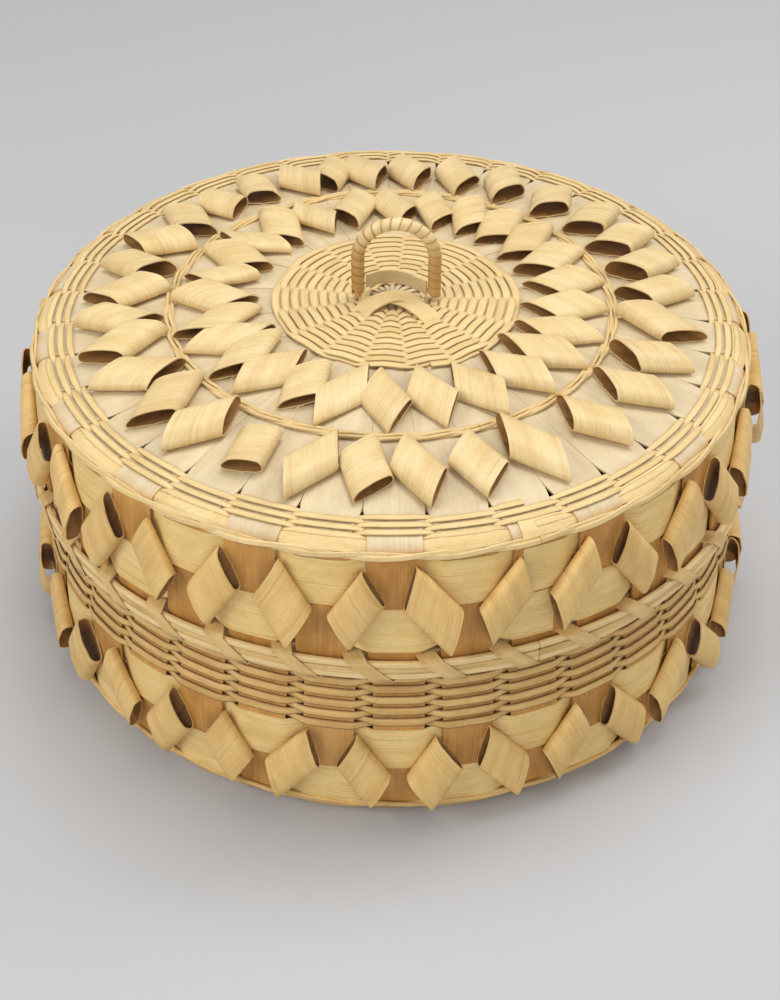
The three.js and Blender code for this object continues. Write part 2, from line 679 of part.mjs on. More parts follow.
const strapSections = [-1, -0.5, 0, 0.5, 1].map((lengthShare) => {
  const y = handleCentreY + handleStrapBow + handleStrapBow * (1 - lengthShare ** 2);
  const bottom = new THREE.Vector3(handleCentreX + lengthShare * strapHalfLength, y, handleFootZ);
  return [bottom, bottom.clone().setZ(handleFootZ + handleStrapWidth)];
});
addPiece('handle_strap', ribbon(strapSections, weaverThickness), paleAsh);

export default group;
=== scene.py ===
import bisect
import math
import random

import bmesh
import bpy
from mathutils import Matrix, Vector


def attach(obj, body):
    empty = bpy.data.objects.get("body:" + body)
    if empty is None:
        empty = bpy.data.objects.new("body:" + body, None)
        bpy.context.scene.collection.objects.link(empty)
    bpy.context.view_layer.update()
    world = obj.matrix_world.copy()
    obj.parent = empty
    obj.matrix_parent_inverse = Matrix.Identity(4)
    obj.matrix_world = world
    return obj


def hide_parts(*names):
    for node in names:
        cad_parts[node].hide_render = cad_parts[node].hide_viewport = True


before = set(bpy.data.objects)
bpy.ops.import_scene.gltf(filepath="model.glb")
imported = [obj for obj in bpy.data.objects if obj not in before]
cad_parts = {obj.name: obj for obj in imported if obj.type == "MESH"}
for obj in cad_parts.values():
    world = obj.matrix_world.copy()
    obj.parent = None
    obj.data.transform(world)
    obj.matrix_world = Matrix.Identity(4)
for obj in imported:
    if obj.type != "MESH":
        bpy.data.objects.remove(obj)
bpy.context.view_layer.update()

# The stage: a plain pale floor under soft studio light from the upper left, and a camera that
# looks down on the basket from the photograph's height. Lengths are in metres throughout.
floor_half = 3.0
floor_grey = (0.49, 0.49, 0.497, 1.0)
floor_roughness = 0.9
floor_gloss = 0.2
world_white = (1.0, 1.0, 1.0, 1.0)
world_strength = 0.40
camera_distance = 0.73456
camera_elevation = 0.69131
camera_aim = Vector((0.0, 0.0, 0.0363))
camera_roll = 0.004876
camera_lens = 61.31
film_height = 36.0

floor_mesh = bmesh.new()
bmesh.ops.create_grid(floor_mesh, x_segments=1, y_segments=1, size=floor_half)
floor_data = bpy.data.meshes.new("floor")
floor_mesh.to_mesh(floor_data)
floor_mesh.free()
floor = bpy.data.objects.new("floor", floor_data)
bpy.context.scene.collection.objects.link(floor)
floor_paper = bpy.data.materials.new("floor_paper")
floor_paper.use_nodes = True
paper_shader = floor_paper.node_tree.nodes["Principled BSDF"]
paper_shader.inputs["Base Color"].default_value = floor_grey
paper_shader.inputs["Roughness"].default_value = floor_roughness
paper_shader.inputs["Specular IOR Level"].default_value = floor_gloss
floor_data.materials.append(floor_paper)

studio = bpy.data.worlds.new("studio")
bpy.context.scene.world = studio
studio.use_nodes = True
studio.node_tree.nodes["Background"].inputs["Color"].default_value = world_white
studio.node_tree.nodes["Background"].inputs["Strength"].default_value = world_strength

# Each soft box's name, place, the height that it is aimed at over the middle, its side and its power.
soft_boxes = [
    ("soft_box_top", (0.1, 0.2, 1.45), 0.08, 0.7, 10.5),
    ("soft_box_right", (0.95, 0.35, 0.95), 0.08, 0.5, 5.0),
    ("soft_box_left", (-0.95, -0.6, 0.8), 0.08, 0.7, 7.0),
    ("soft_box_front", (0.3, -1.2, 0.7), 0.06, 0.8, 4.5),
]
for name, lamp_place, aim_height, side, power in soft_boxes:
    lamp_data = bpy.data.lights.new(name, "AREA")
    lamp_data.size = side
    lamp_data.energy = power
    lamp = bpy.data.objects.new(name, lamp_data)
    lamp.location = lamp_place
    lamp_aim = Vector((0.0, 0.0, aim_height)) - Vector(lamp_place)
    lamp.rotation_euler = lamp_aim.to_track_quat("-Z", "Y").to_euler()
    bpy.context.scene.collection.objects.link(lamp)

camera_data = bpy.data.cameras.new("camera")
camera_data.sensor_fit = "VERTICAL"
camera_data.sensor_height = film_height
camera_data.lens = camera_lens
camera = bpy.data.objects.new("camera", camera_data)
camera_place = camera_aim + camera_distance * Vector((
    0.0, -math.cos(camera_elevation), math.sin(camera_elevation),
))
camera_turn = (camera_aim - camera_place).to_track_quat("-Z", "Y").to_matrix().to_4x4()
camera_roll_turn = Matrix.Rotation(camera_roll, 4, "Z")
camera.matrix_world = Matrix.Translation(camera_place) @ camera_turn @ camera_roll_turn
bpy.context.scene.collection.objects.link(camera)
bpy.context.scene.camera = camera
bpy.context.scene.view_settings.view_transform = "Standard"

# The base's uprights: 35 broad splints of black ash, pounded from the log and scraped, cross at the
# middle of the floor in two layers and turn up into the wall, to be clamped between the rim hoops.
# Weather and handling have left them browner than the weavers.
splint_count = 35
pitch = math.tau / splint_count
splint_thickness = 0.0009
upright_width = 0.0186
upright_steps = 64
base_narrowing_reach = 0.13
narrowing_run = 0.012
splint_cup = 0.00025
hub_radius = 0.0009
base_crowding_share = 0.93
layer_lift = 0.00045
layer_lift_radius = 0.07
corner_easing = 0.0022
easing_shares = (-1.0, -0.6, -0.2, 0.2, 0.6, 1.0)
bend_nudge = 0.0004
base_join_angle = math.radians(86.3)
base_floor_height = 0.00105
base_shoulder_height = 0.0477
base_weave_top_height = 0.074
base_corners = [
    (hub_radius, base_floor_height),
    (0.1396, base_floor_height),
    (0.1436, 0.00465),
    (0.1422, base_shoulder_height),
    (0.1354, base_weave_top_height),
    (0.1332, 0.0976),
]
base_turn_leg = 1
base_wall_leg = 2
base_collar_leg = 3
upright_tones = [0.0, 0.1, 0.25, 0.5]
splint_cross_steps = 2
grain_spread = 9.0
chance_seed = 35
chance = random.Random(chance_seed)


def reaches_along(points):
    """How far along a path each of its points is."""
    reaches = [0.0]
    for before, after in zip(points, points[1:]):
        reaches.append(reaches[-1] + (after - before).length)
    return reaches


class Bend:
    """A splint's path from the middle outwards, its corners eased, with its outside on one hand."""

    def __init__(self, corners, outside):
        self.corners = [Vector(corner) for corner in corners]
        self.outside = outside
        self.reaches = reaches_along(self.corners)
        self.length = self.reaches[-1]

    def sharp(self, distance):
        leg = bisect.bisect_left(self.reaches, distance, 1, len(self.reaches) - 1) - 1
        share = (distance - self.reaches[leg]) / (self.reaches[leg + 1] - self.reaches[leg])
        return self.corners[leg].lerp(self.corners[leg + 1], share)

    def eased(self, distance):
        reach = min(corner_easing, distance, self.length - distance)
        spread = [self.sharp(distance + reach * share) for share in easing_shares]
        return sum(spread, Vector((0.0, 0.0))) / len(spread)

    def at(self, distance, outward=0.0):
        """Radius and height at a distance along the path, pushed outward from the splint's middle."""
        ahead = self.eased(min(distance + bend_nudge, self.length))
        ahead -= self.eased(max(distance - bend_nudge, 0.0))
        ahead.normalize()
        face = Vector((ahead.y, -ahead.x)) * self.outside
        return self.eased(distance) + face * outward

    def distance_at_height(self, height, first_leg):
        for leg in range(first_leg, len(self.corners) - 1):
            start, end = self.corners[leg].y, self.corners[leg + 1].y
            if min(start, end) <= height <= max(start, end):
                share = (height - start) / (end - start)
                return self.reaches[leg] + share * (self.reaches[leg + 1] - self.reaches[leg])
        raise ValueError("no leg at this height")


def round_point(angle, radius_height, sideways=0.0):
    """A point by its angle, radius and height, and a step sideways on the flat of the splint."""
    radius, height = radius_height
    return Vector((
        math.cos(angle) * radius - math.sin(angle) * sideways,
        math.sin(angle) * radius + math.cos(angle) * sideways,
        height,
    ))


def start_splints():
    """An empty mesh that carries each splint's grain map and its own tone."""
    splints = bmesh.new()
    splints.loops.layers.uv.new("grain")
    splints.verts.layers.float.new("tone")
    return splints


def lay_splint(splints, place, length, width, along_steps, across_steps, tone, edge_shade=0.0):
    """One splint: a grid whose corners are moved to where place() lays them, with its own grain."""
    grain = splints.loops.layers.uv["grain"]
    tones = splints.verts.layers.float["tone"]
    grid = bmesh.ops.create_grid(splints, x_segments=along_steps, y_segments=across_steps, size=0.5)
    offset = Vector((chance.uniform(0.0, grain_spread), chance.uniform(0.0, grain_spread)))
    for face in {face for vertex in grid["verts"] for face in vertex.link_faces}:
        face.smooth = True
        for edge in face.edges:
            edge.smooth = not edge.is_boundary
        for loop in face.loops:
            share = loop.vert.co.xy
            loop[grain].uv = (share.x * length + offset.x, share.y * width + offset.y)
    for vertex in grid["verts"]:
        # Each vertex's tone is the splint's own random tone plus painted shade that darkens the splint
        # towards its two edges. This stands in for the shade in the slits between narrow rows and between
        # the handle's turns.
        vertex[tones] = tone + edge_shade * abs(2.0 * vertex.co.y) ** 4
        vertex.co = place(vertex.co.x + 0.5, vertex.co.y + 0.5)


def finish_splints(splints, name, body, material, thickness, replaced, under=None):
    """The piece: its flat splints get their thickness, their body and their finish."""
    data = bpy.data.meshes.new(name)
    splints.to_mesh(data)
    splints.free()
    piece = bpy.data.objects.new(name, data)
    bpy.context.scene.collection.objects.link(piece)
    data.materials.append(material)
    wall = piece.modifiers.new("thickness", "SOLIDIFY")
    wall.thickness = thickness
    wall.offset = 0.0
    if under:
        data.materials.append(under)
        wall.material_offset = 1
    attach(piece, body)
    if replaced:
        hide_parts(*replaced)
    return piece


class Wire:
    """A shader socket that adds Math nodes when it is used in a sum."""

    def __init__(self, tree, socket):
        self.tree = tree
        self.socket = socket

    def node(self, output, kind, settings, *values):
        """A new node with its settings and the values or links of its sockets, by one of its outputs."""
        made = self.tree.nodes.new(kind)
        for key, setting in settings.items():
            setattr(made, key, setting)
        for place, value in values:
            if isinstance(value, Wire):
                self.tree.links.new(value.socket, made.inputs[place])
            else:
                made.inputs[place].default_value = value
        return Wire(self.tree, made.outputs[output])

    def __add__(self, other):
        return self.node(0, "ShaderNodeMath", {"operation": "ADD"}, (0, self), (1, other))

    def __mul__(self, other):
        return self.node(0, "ShaderNodeMath", {"operation": "MULTIPLY"}, (0, self), (1, other))

    __radd__ = __add__
    __rmul__ = __mul__

    def between(self, low, high):
        settings = {"interpolation_type": "SMOOTHSTEP"}
        return self.node(0, "ShaderNodeMapRange", settings, (0, self), (1, low), (2, high))

    def mix(self, first, second):
        return self.node(2, "ShaderNodeMix", {"data_type": "RGBA"}, (0, self), (6, first), (7, second))

    def noise(self, waves, detail, roughness):
        """Noise on this map, with so many waves to the metre along the grain and across it."""
        stretched = self.node(0, "ShaderNodeMapping", {}, (0, self), (3, (*waves, 1.0)))
        return self.node(
            0, "ShaderNodeTexNoise", {"noise_dimensions": "2D"},
            (0, stretched), ("Scale", 1.0), ("Detail", detail), ("Roughness", roughness),
        )


# Each layer of the wood's figure: its waves to the metre along and across, its detail, its roughness.
fibre_figure = ((45.0, 2100.0), 3.0, 0.65)
band_figure = ((9.0, 240.0), 2.0, 0.55)
cloud_figure = ((75.0, 130.0), 3.0, 0.55)
streak_figure = ((16.0, 900.0), 2.0, 0.6)
pore_figure = ((330.0, 3600.0), 1.0, 0.55)
streak_span = (0.62, 0.72)
pore_span = (0.6, 0.74)
wood_span = (0.3, 0.68)
fibre_share, band_share, cloud_share = 0.34, 0.26, 0.4
fibre_relief_share, band_relief_share = 0.6, 0.4
tone_share = 0.85
pore_share = 0.22
fibre_roughness = 0.16
grain_depth = 0.0004
ash_gloss = 0.35


def ash(name, pale, deep, stain_and_shade, stain_share, roughness, relief, clean=None):
    """Scraped black ash: long fine grain, broad bands of tone, brown streaks and a satin face."""
    material = bpy.data.materials.new(name)
    material.use_nodes = True
    tree = material.node_tree
    shader = tree.nodes["Principled BSDF"]
    blank = Wire(tree, None)
    pale, deep, stain_and_shade = ((*colour, 1.0) for colour in (pale, deep, stain_and_shade))
    grain = blank.node(0, "ShaderNodeUVMap", {"uv_map": "grain"})
    tone = blank.node("Fac", "ShaderNodeAttribute", {"attribute_name": "tone"})
    fibres = grain.noise(*fibre_figure)
    bands = grain.noise(*band_figure)
    clouds = grain.noise(*cloud_figure)
    streaks = grain.noise(*streak_figure).between(*streak_span)
    pores = grain.noise(*pore_figure).between(*pore_span)
    level = (fibres * fibre_share + bands * band_share + clouds * cloud_share).between(*wood_span)
    wood = level.mix(deep, pale)
    if clean:
        place = blank.node("Object", "ShaderNodeTexCoord", {})
        height = blank.node(2, "ShaderNodeSeparateXYZ", {}, (0, place))
        scraped = level.mix((*clean["deep"], 1.0), (*clean["pale"], 1.0))
        wood = height.between(clean["from_height"], clean["to_height"]).mix(wood, scraped)
    # The tone attribute, the streaks and the pores mix the wood towards the darker colour. That colour is
    # the grain's stain, and on splints whose edges the tone darkens it is also painted shade.
    stain_and_shade_level = tone.between(0.0, 1.0) * tone_share + streaks * stain_share + pores * pore_share
    tree.links.new(stain_and_shade_level.mix(wood, stain_and_shade).socket, shader.inputs["Base Color"])
    rough = fibres * fibre_roughness + (roughness - fibre_roughness / 2.0)
    tree.links.new(rough.socket, shader.inputs["Roughness"])
    raised = fibres * fibre_relief_share + bands * band_relief_share
    bump = blank.node(
        0, "ShaderNodeBump", {}, ("Height", raised), ("Strength", relief), ("Distance", grain_depth),
    )
    tree.links.new(bump.socket, shader.inputs["Normal"])
    shader.inputs["Specular IOR Level"].default_value = ash_gloss
    return material


brown_ash = ash(
    "brown_ash", pale=(0.64, 0.32, 0.076), deep=(0.41, 0.185, 0.043),
    stain_and_shade=(0.68, 0.42, 0.15), stain_share=0.25, roughness=0.55, relief=0.5,
)
base_bend = Bend(base_corners, outside=1.0)


def smooth_share(value, low, high):
    share = min(1.0, max(0.0, (value - low) / (high - low)))
    return share * share * (3.0 - 2.0 * share)


def upright_place(bend, angle, lift_side, broad_width, narrowing_reach, crowding_share):
    """A splint from the middle to the rim: as broad as its neighbours allow, then its wall's width."""

    def place(along, across):
        distance = along * bend.length
        radius = bend.at(distance)[0]
        wall_share = smooth_share(distance, narrowing_reach, narrowing_reach + narrowing_run)
        width = broad_width + (upright_width - broad_width) * wall_share
        width = min(width, radius * pitch * crowding_share)
        lift = lift_side * layer_lift * max(0.0, 1.0 - radius / layer_lift_radius)
        cup = splint_cup * (1.0 - (2.0 * across - 1.0) ** 2)
        return round_point(angle, bend.at(distance, cup - lift), (across - 0.5) * width)

    return place


def lay_uprights(bend, join_angle, broad_width, narrowing_reach, crowding_share, draw_tone):
    """All 35 splints, one after the other round the middle, by turns in the upper and the lower layer."""
    splints = start_splints()
    for index in range(splint_count):
        lift_side = 1.0 if index % 2 else -1.0
        tone = draw_tone()
        place = upright_place(
            bend, join_angle - index * pitch, lift_side, broad_width, narrowing_reach, crowding_share,
        )
        lay_splint(splints, place, bend.length, upright_width, upright_steps, splint_cross_steps, tone)
    return splints


finish_splints(
    lay_uprights(
        base_bend, base_join_angle, upright_width, base_narrowing_reach, base_crowding_share,
        lambda: chance.choice(upright_tones) * chance.random(),
    ),
    "base_uprights", "basket", brown_ash, splint_thickness,
    ["base_splints_lower", "base_splints_upper"],
)

# The base's two broad weavers: splints of cream ash as wide as the uprights, each woven once round
# the wall, over one and under one, with its ends overlapped behind the basket.
weaver_thickness = 0.0007
wall_weaver_width = 0.0193
row_shift = 0.01005
weaver_over_depth = 0.00095
weaver_under_depth = -0.0017
weaver_sag = 0.0007
overlap_share = 0.24
base_row_height = 0.0271
steps_per_upright = 12
round_steps = splint_count * steps_per_upright
weaver_cross_steps = 4
crossing_quickness = 2.1
base_weaver_tone = 0.05

wall_ash = ash(
    "wall_ash", pale=(0.85, 0.625, 0.27), deep=(0.71, 0.485, 0.17),
    stain_and_shade=(0.36, 0.19, 0.06), stain_share=0.35, roughness=0.5, relief=0.6,
)


def uprights_passed(along):
    """How many uprights a broad weaver has passed: once round, with its ends lapped at one."""
    return along * (splint_count + 2.0 * overlap_share) - overlap_share


def wave(turns):
    """1 on an even splint and -1 on an odd one, flat on the splint and quick between two."""
    swing = math.cos(math.pi * turns)
    return math.copysign(min(1.0, abs(swing) * crossing_quickness), swing)


def weaver_depth(side, over, under):
    """How far out a weaver lies: over on its side 1, under on its side -1, and between on its way."""
    return under + (over - under) * (side + 1.0) / 2.0


def wall_weaver(bend, first_leg, join_angle, row_height, width, over, under, sag, first_side, tone):
    """A broad weaver round the wall, its middle at the row's height."""
    splint = start_splints()

    def place(along, across):
        turns = uprights_passed(along)
        side = wave(turns) * first_side
        height = row_height + (across - 0.5) * width - sag * side
        distance = bend.distance_at_height(height, first_leg)
        return round_point(
            join_angle - turns * pitch, bend.at(distance, weaver_depth(side, over, under)),
        )

    length = math.tau * bend.corners[-1].x
    lay_splint(splint, place, length, width, round_steps, weaver_cross_steps, tone)
    return splint


def weave_wall(part, body, bend, first_leg, join_angle, row_height, tone):
    """A wall's two broad weavers: where the lower one lies over an upright, the upper one lies under."""
    for row, first_side in (("lower", 1.0), ("upper", -1.0)):
        weaver = wall_weaver(
            bend, first_leg, join_angle, row_height - first_side * row_shift, wall_weaver_width,
            weaver_over_depth, weaver_under_depth, weaver_sag, first_side, tone,
        )
        finish_splints(
            weaver, f"{part}_weaver_{row}", body, wall_ash, weaver_thickness,
            [f"{part}_wall_weaver_{row}"],
        )


weave_wall(
    "base", "basket", base_bend, base_wall_leg, base_join_angle, base_row_height, base_weaver_tone,
)

# The base's curls, the porcupine or cowiss weave: a third splint runs behind the bare uprights and is
# turned into a loop in each gap as it goes from one weaver's row to the other's. Each loop leans the
# way that the splint climbs, and no two are quite alike.
curl_thickness = 0.0005
curl_splint_width = 0.0188
curl_lean = math.radians(56.0)
curl_half_width = 0.0074
curl_height = 0.0080
curl_behind = 0.00095
curl_tail = 0.004
curl_seat = 0.006
curl_mouth = 0.003
curl_cross_level = 0.0010
curl_lip_level = 0.0013
curl_ridge_level = 0.0016
curl_under_level = -0.0009
curl_over_level = 0.0001
curl_mouth_share = 0.8
curl_foot_share = 0.8
curl_side_share = 0.42
curl_shoulder_share = 0.84
curl_round_bulge_share = 0.72
curl_flat_bulge_share = 0.2
curl_crown_width_share = 0.45
curl_round_crown_share = 0.97
curl_flat_crown_share = 0.03
curl_tuck_share = 0.35
curl_reach_down = 0.0215
curl_reach_up = 0.0178
curl_skew = 0.001
curl_wander = 0.0006
curl_lean_wander = 5.0
curl_width_shares = (0.88, 1.08)
curl_height_shares = (0.82, 1.02)
curl_flat_shares = (0.4, 1.0)
curl_flare_shares = (-0.35, -0.02)
curl_tones = (-0.1, 0.25)
curl_along_steps = 40
curl_cross_steps = 4
curl_spot_steps = 8

tan_ash = ash(
    "tan_ash", pale=(0.80, 0.545, 0.215), deep=(0.63, 0.39, 0.12),
    stain_and_shade=(0.34, 0.17, 0.05), stain_share=0.3, roughness=0.46, relief=0.45,
)
# The curls' inner side: the rough side of the splint, and painted much darker as painted shade inside the
# loops' mouths.
rough_side_painted_shade_ash = ash(
    "rough_side_painted_shade_ash", pale=(0.44, 0.23, 0.075), deep=(0.28, 0.13, 0.038),
    stain_and_shade=(0.16, 0.07, 0.02), stain_share=0.3, roughness=0.65, relief=0.8,
)


def curve_point(four, share):
    """A point between the second and the third of four marks, on a smooth curve through them."""
    before, start, end, after = four
    return 0.5 * (
        2.0 * start + (end - before) * share
        + (2.0 * before - 5.0 * start + 4.0 * end - after) * share ** 2
        + (3.0 * start - before - 3.0 * end + after) * share ** 3
    )


def with_ends(marks):
    """The marks of a smooth curve, with one more beyond each end for it to run through."""
    marks = [Vector(mark) for mark in marks]
    return [marks[0] * 2.0 - marks[1]] + marks + [marks[-1] * 2.0 - marks[-2]]


class Loop:
    """The loop's section, followed by its own length: from behind one upright to behind the next."""

    def __init__(self, half_width, height, skew, flat_share):
        bulge_share = curl_round_bulge_share + curl_flat_bulge_share * flat_share
        crown_height = height * (curl_round_crown_share - curl_flat_crown_share * flat_share)
        climb = [
            (-half_width - curl_tail, -curl_behind, 0.0),
            (-curl_seat, -curl_behind, 0.0),
            (-curl_mouth, -curl_behind * curl_mouth_share, 0.0),
            (0.0, curl_cross_level, 0.0),
            (curl_mouth, curl_lip_level, 0.0),
            (half_width * curl_foot_share, curl_ridge_level, 0.0),
            (half_width, height * curl_side_share, 0.0),
            (half_width * bulge_share, height * curl_shoulder_share, skew),
            (half_width * curl_crown_width_share, crown_height, skew),
        ]
        marks = with_ends(
            [(out + shift, level) for out, level, shift in climb] + [(skew, height)]
            + [(shift - out, level) for out, level, shift in reversed(climb)]
        )
        self.spots = []
        for leg in range(1, len(marks) - 2):
            for step in range(curl_spot_steps):
                self.spots.append(curve_point(marks[leg - 1:leg + 3], step / curl_spot_steps))
        self.spots.append(marks[-2])
        self.reaches = reaches_along(self.spots)
        self.length = self.reaches[-1]

    def at(self, reach):
        leg = bisect.bisect_right(self.reaches, reach, 1, len(self.reaches) - 1) - 1
        share = (reach - self.reaches[leg]) / (self.reaches[leg + 1] - self.reaches[leg])
        return self.spots[leg].lerp(self.spots[leg + 1], share)


def chance_loop(half_width, height, width_shares, height_shares, skew, flat_shares):
    """A loop of about this size, because no two are turned quite alike."""
    return Loop(
        half_width * chance.uniform(*width_shares), height * chance.uniform(*height_shares),
        skew * chance.uniform(-1.0, 1.0), chance.uniform(*flat_shares),
    )


def curl_place(loop, lean, side, width, flare_share, tilt_share, wall_point):
    """Where each point of a curl's splint lies: wound about an axis that leans by the angle lean."""

    def place(along, across):
        level = loop.at(along * loop.length)
        low_share = 1.0 - smooth_share(level.y, curl_under_level, curl_over_level)
        loose_share = 1.0 - low_share
        climb = -level.x * loose_share
        across_axis = (0.5 - across) * side * width * (1.0 - curl_tuck_share * low_share)
        down_axis = (climb * math.cos(lean) + across_axis) / math.sin(lean)
        sideways = level.x * math.sin(lean) + down_axis * math.cos(lean) * loose_share
        upward = -level.x * math.cos(lean) + down_axis * math.sin(lean)
        outward = level.y * (1.0 + flare_share * down_axis / width * loose_share)
        outward += tilt_share * sideways * loose_share
        return wall_point(side * sideways, upward, outward)

    return place


def wall_curls(bend, first_leg, join_angle, row_height):
    """A curl in every gap of the wall, leaning by turns one way and the other."""
    curls = start_splints()
    for index in range(splint_count):
        gap_angle = join_angle - (index + 0.5) * pitch
        side = 1.0 if index % 2 == 0 else -1.0
        loop = chance_loop(
            curl_half_width, curl_height, curl_width_shares, curl_height_shares, curl_skew,
            curl_flat_shares,
        )
        middle = row_height + curl_wander * chance.uniform(-1.0, 1.0)

        def wall_point(sideways, upward, outward):
            height = min(max(middle + upward, row_height - curl_reach_down), row_height + curl_reach_up)
            distance = bend.distance_at_height(height, first_leg)
            radius = bend.at(distance)[0]
            return round_point(gap_angle + sideways / radius, bend.at(distance, outward))

        lean = curl_lean + math.radians(chance.uniform(-curl_lean_wander, curl_lean_wander))
        place = curl_place(
            loop, lean, side, curl_splint_width, chance.uniform(*curl_flare_shares), 0.0, wall_point,
        )
        tone = chance.uniform(*curl_tones)
        lay_splint(
            curls, place, loop.length, curl_splint_width, curl_along_steps, curl_cross_steps, tone,
        )
    return curls


finish_splints(
    wall_curls(base_bend, base_wall_leg, base_join_angle, base_row_height),
    "base_curls", "basket", tan_ash, curl_thickness, ["base_wall_curls"], rough_side_painted_shade_ash,
)

# The fine weave of the base's shoulder: a narrow scraped weaver, packed down hard, that spirals round
# over one upright and under the next. With an odd count of uprights each row falls opposite the last,
# so that each upright shows every second row as a broad bulging band.
fine_thickness = 0.0006
fine_over_depth = 0.00105
fine_spread_share = 0.2
# The edge darkening of these rows is painted shade in the dark slits between them.
fine_weave = {
    "row_count": 12, "row_step": 0.00228, "rib_count": splint_count,
    "over_width": 0.0033, "gap_width": 0.0026, "over": fine_over_depth, "under": -0.00085,
    "bulge": 0.0002, "sag": 0.00055, "edge_shade": 0.9,
}
fine_drop = 0.0006
fine_first_reach = base_bend.distance_at_height(base_shoulder_height, base_wall_leg) - fine_drop
fine_upright_steps = 10
fine_cross_steps = 4


def spiral_weave(
    bend, first_distance, join_angle, row_count, row_step, rib_count,
    over_width, gap_width, over, under, bulge, sag, edge_shade, bow=0.0,
):
    """One narrow weaver that spirals along a bend, over one rib and under the next."""
    rows = start_splints()
    ribs_passed = row_count * rib_count

    def place(along, across):
        turns = along * ribs_passed
        side = wave(turns)
        spread_share = smooth_share(abs(side), fine_spread_share, 1.0)
        width = gap_width + (over_width - gap_width) * spread_share
        angle = join_angle - turns * math.tau / rib_count
        distance = first_distance + turns / rib_count * row_step + (across - 0.5) * width - sag * side
        distance -= bow * max(0.0, -math.sin(angle)) * math.cos(math.pi * turns) ** 2
        crown = bulge * (1.0 - (2.0 * across - 1.0) ** 2)
        depth = weaver_depth(side, over, under) + crown * side
        return round_point(angle, bend.at(min(max(distance, 0.0), bend.length), depth))

    length = math.tau * bend.at(first_distance)[0] * row_count
    steps = ribs_passed * fine_upright_steps
    # The rows are darkened towards their edges: painted shade in the slits between rows.
    lay_splint(rows, place, length, over_width, steps, fine_cross_steps, 0.0, edge_shade)
    return rows


# Browner and darker than the cream weave of the lid: partly the weaver's own tone, partly painted shade
# from the lid's rim above these rows. Its near-black stain colour is also the painted shade that the edge
# darkening draws into the slits between the rows.
weave_ash_with_painted_shade = ash(
    "weave_ash_with_painted_shade", pale=(0.74, 0.48, 0.18), deep=(0.54, 0.32, 0.10),
    stain_and_shade=(0.14, 0.06, 0.018), stain_share=0.12, roughness=0.5, relief=0.5,
)
finish_splints(
    spiral_weave(base_bend, fine_first_reach, base_join_angle, **fine_weave),
    "base_fine_weave", "basket", weave_ash_with_painted_shade, fine_thickness,
    ["base_fine_weave_outer", "base_fine_weave_inner"],
)

# The foot weaver: two thin strands twined round the uprights where they turn up from the floor, one
# over and one under and crossing in each gap. The basket stands on it and on the floor's splints.
strand_width = 0.0017
strand_thickness = 0.0013
strand_edge = 0.0004
strand_lag = 0.6
strand_steps = splint_count * fine_upright_steps
strand_cross_steps = 1
foot_strand_rise = 0.0028
foot_strand_reach = base_bend.reaches[base_wall_leg] + foot_strand_rise
foot_strands = {
    "out_depth": 0.0016, "in_depth": 0.0003, "swing": 0.0007, "width": strand_width,
    "tones": (0.1, 0.3),
}


def twine(bend, distance, join_angle, out_depth, in_depth, swing, width, tones):
    """Two strands twined once round the splints, so that each covers the other by turns."""
    strands = start_splints()
    for first_side, tone in zip((1.0, -1.0), tones):
        def place(along, across):
            turns = along * splint_count
            level = weaver_depth(math.cos(math.pi * turns) * first_side, out_depth, in_depth)
            rise = swing * math.sin(math.pi * turns + strand_lag) * first_side
            here = distance + (across - 0.5) * width + rise
            return round_point(join_angle - turns * pitch, bend.at(here, level))

        length = math.tau * bend.at(distance)[0]
        lay_splint(strands, place, length, width, strand_steps, strand_cross_steps, tone)
    return strands


def round_off(piece, width):
    """The edges of a strand or strip, rubbed round."""
    edge = piece.modifiers.new("rubbed_edge", "BEVEL")
    edge.width = width
    edge.segments = 2
    edge.profile = 0.5
    edge.limit_method = "ANGLE"


foot_weaver = finish_splints(
    twine(base_bend, foot_strand_reach, base_join_angle, **foot_strands),
    "base_foot_weaver_strands", "basket", tan_ash, strand_thickness, ["base_foot_weaver"],
)
round_off(foot_weaver, strand_edge)

# The base's rim: hoops of coarse split ash inside and outside the uprights' ends, each of thin strips
# laid edge to edge, and a flat pale splint that lashes them together over the top. The lid hides it.
rim_strip_count = 3
rim_strip_gap = 0.0003
rim_strip_steps = 140
rim_strip_tones = (0.0, 0.7)
strip_drift = 0.00018
strip_bulge = 0.00015
strip_wave_counts = (3.0, 7.0, 11.0)
base_rim = {
    "inner_radius": 0.1307, "outer_radius": 0.1354, "low": 0.0913, "high": 0.0983,
    "hoop_thickness": 0.0016, "hoop_edge": 0.0004,
    "inside": 0.0012, "outside": 0.0012, "below": 0.0004, "above": 0.0005,
}
lashing_width = 0.0074
lashing_thickness = 0.0005
lashing_slant_share = 0.35
lashing_turn_steps = 16
lashing_tone = 0.05

split_ash = ash(
    "split_ash", pale=(0.78, 0.54, 0.215), deep=(0.50, 0.30, 0.09),
    stain_and_shade=(0.86, 0.66, 0.34), stain_share=0.6, roughness=0.55, relief=1.0,
)
pale_ash = ash(
    "pale_ash", pale=(0.76, 0.53, 0.225), deep=(0.61, 0.39, 0.14),
    stain_and_shade=(0.36, 0.19, 0.06), stain_share=0.25, roughness=0.5, relief=0.45,
)


def rim_hoop(radius, low, high, join_angle):
    """A hoop of thin strips, each a little wavy, stacked from its low edge to its high edge."""
    hoop = start_splints()
    step = (high - low) / rim_strip_count
    for strip in range(rim_strip_count):
        starts = [chance.uniform(0.0, math.tau) for _ in strip_wave_counts]
        middle = low + (strip + 0.5) * step

        def place(along, across):
            angle = along * math.tau
            slow, quick, bulge = (
                math.sin(count * angle + start) for count, start in zip(strip_wave_counts, starts)
            )
            height = middle + strip_drift * (slow + quick) + (across - 0.5) * (step - rim_strip_gap)
            return round_point(join_angle - angle, (radius + strip_bulge * bulge, height))

        tone = chance.uniform(*rim_strip_tones)
        lay_splint(
            hoop, place, math.tau * radius, step, rim_strip_steps, strand_cross_steps, tone,
        )
    return hoop


